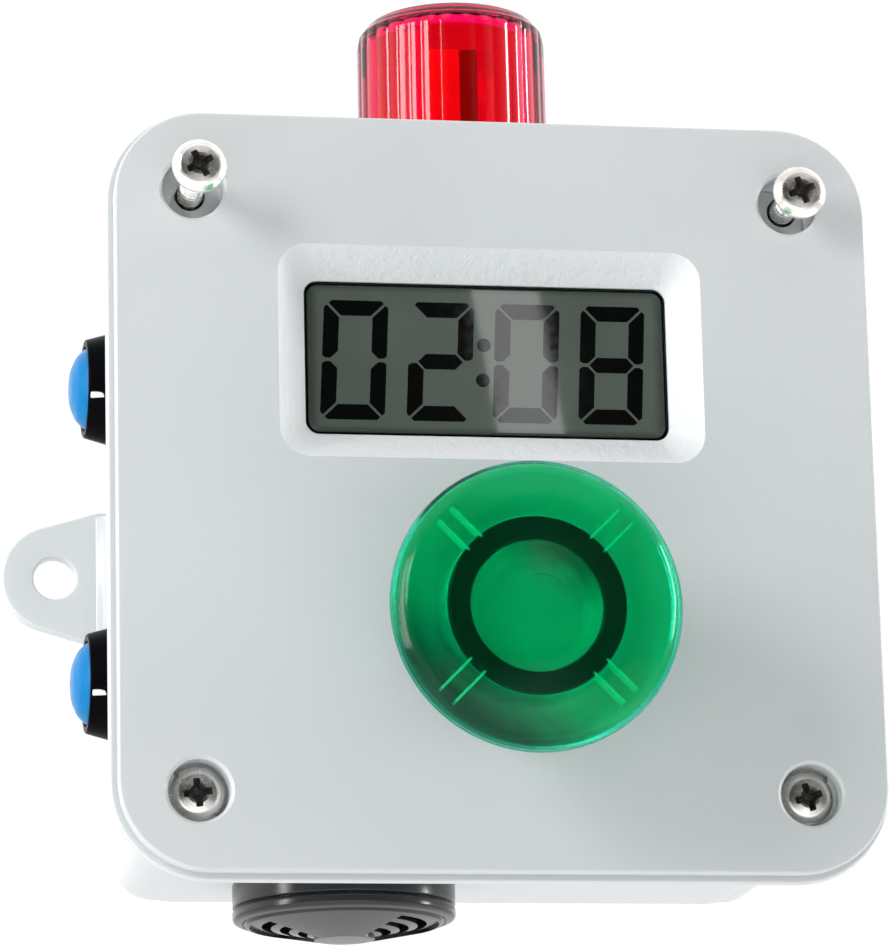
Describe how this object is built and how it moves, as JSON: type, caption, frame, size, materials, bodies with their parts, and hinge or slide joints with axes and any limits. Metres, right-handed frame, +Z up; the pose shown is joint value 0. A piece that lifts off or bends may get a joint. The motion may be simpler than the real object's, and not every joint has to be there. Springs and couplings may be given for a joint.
{
  "type": "countdown timer alarm station",
  "caption": "Wall-mounted wet-location timer station: recessed time display, illuminated mushroom push-button, side buttons, beacon on top and sounder below.",
  "frame": {"origin": "centre of the box's back face, on the wall", "axes": "+X to the viewer's right, -Y out of the wall towards the viewer, +Z up"},
  "size_m": [0.147, 0.0984, 0.1569],
  "materials": {
    "grey_pvc": "satin moulded PVC",
    "stainless_steel": "polished stainless",
    "brass": "machined",
    "black_rubber": "matt",
    "black_plastic": "satin",
    "green_lens": "translucent, polished",
    "red_lens": "translucent, fluted",
    "blue_plastic": "smooth",
    "display_glass": "polished",
    "white_plastic": "satin",
    "circuit_board": "solder mask",
    "battery_wrap": "shrink wrap",
    "wire_insulation": "smooth"
  },
  "bodies": {
    "station": {"battery_cell_1": "battery_wrap", "battery_cell_2": "battery_wrap", "battery_cell_3": "battery_wrap", "battery_cell_4": "battery_wrap", "battery_holder": "black_plastic", "battery_lead": "wire_insulation", "beacon_base": "black_plastic", "beacon_lamp": "white_plastic", "beacon_lead": "wire_insulation", "beacon_lens": "red_lens", "beacon_nut": "black_plastic", "beacon_seal": "black_rubber", "board_screw_1": "stainless_steel", "board_screw_2": "stainless_steel", "board_screw_3": "stainless_steel", "board_screw_4": "stainless_steel", "box_body": "grey_pvc", "cover": "grey_pvc", "cover_gasket": "black_rubber", "display_glass": "display_glass", "display_holder": "black_plastic", "display_reflector": "white_plastic", "insert_bottom_left": "brass", "insert_bottom_right": "brass", "insert_top_left": "brass", "insert_top_right": "brass", "lower_button_bezel": "black_plastic", "lower_button_lead": "wire_insulation", "lower_button_nut": "stainless_steel", "lower_button_seal": "black_rubber", "lower_button_spring": "stainless_steel", "lower_button_switch": "black_plastic", "mushroom_collar": "black_plastic", "mushroom_contacts": "black_plastic", "mushroom_lamp": "white_plastic", "mushroom_lead": "wire_insulation", "mushroom_nut": "black_plastic", "mushroom_seal": "black_rubber", "mushroom_spring": "stainless_steel", "sounder_disc": "brass", "sounder_housing": "black_plastic", "sounder_lead": "wire_insulation", "sounder_nut": "black_plastic", "sounder_plug": "black_plastic", "sounder_seal": "black_rubber", "timer_board": "circuit_board", "upper_button_bezel": "black_plastic", "upper_button_lead": "wire_insulation", "upper_button_nut": "stainless_steel", "upper_button_seal": "black_rubber", "upper_button_spring": "stainless_steel", "upper_button_switch": "black_plastic"},
    "mushroom_button": {"mushroom_cap": "green_lens", "mushroom_plunger": "black_plastic"},
    "upper_button": {"upper_button_cap": "blue_plastic"},
    "lower_button": {"lower_button_cap": "blue_plastic"},
    "screw_bottom_left": {"cover_screw_bottom_left": "stainless_steel"},
    "screw_bottom_right": {"cover_screw_bottom_right": "stainless_steel"},
    "screw_top_left": {"cover_screw_top_left": "stainless_steel"},
    "screw_top_right": {"cover_screw_top_right": "stainless_steel"}
  },
  "joints": [
    {"name": "mushroom_press", "type": "slide", "parent": "station", "child": "mushroom_button", "axis": [0, 1, 0], "range_m": [0, 0.005], "stiffness_N_per_m": 800, "springref_m": -0.003, "deforming": ["mushroom_spring"]},
    {"name": "upper_button_press", "type": "slide", "parent": "station", "child": "upper_button", "axis": [1, 0, 0], "range_m": [0, 0.002], "stiffness_N_per_m": 900, "springref_m": -0.0015, "deforming": ["upper_button_spring"]},
    {"name": "lower_button_press", "type": "slide", "parent": "station", "child": "lower_button", "axis": [1, 0, 0], "range_m": [0, 0.002], "stiffness_N_per_m": 900, "springref_m": -0.0015, "deforming": ["lower_button_spring"]},
    {"name": "screw_top_left_travel", "type": "slide", "parent": "station", "child": "screw_top_left", "axis": [0, -1, 0], "range_m": [-0.015, 0.007]},
    {"name": "screw_top_right_travel", "type": "slide", "parent": "station", "child": "screw_top_right", "axis": [0, -1, 0], "range_m": [-0.0104, 0.0116]},
    {"name": "screw_bottom_left_travel", "type": "slide", "parent": "station", "child": "screw_bottom_left", "axis": [0, -1, 0], "range_m": [0, 0.022]},
    {"name": "screw_bottom_right_travel", "type": "slide", "parent": "station", "child": "screw_bottom_right", "axis": [0, -1, 0], "range_m": [0, 0.022]}
  ]
}
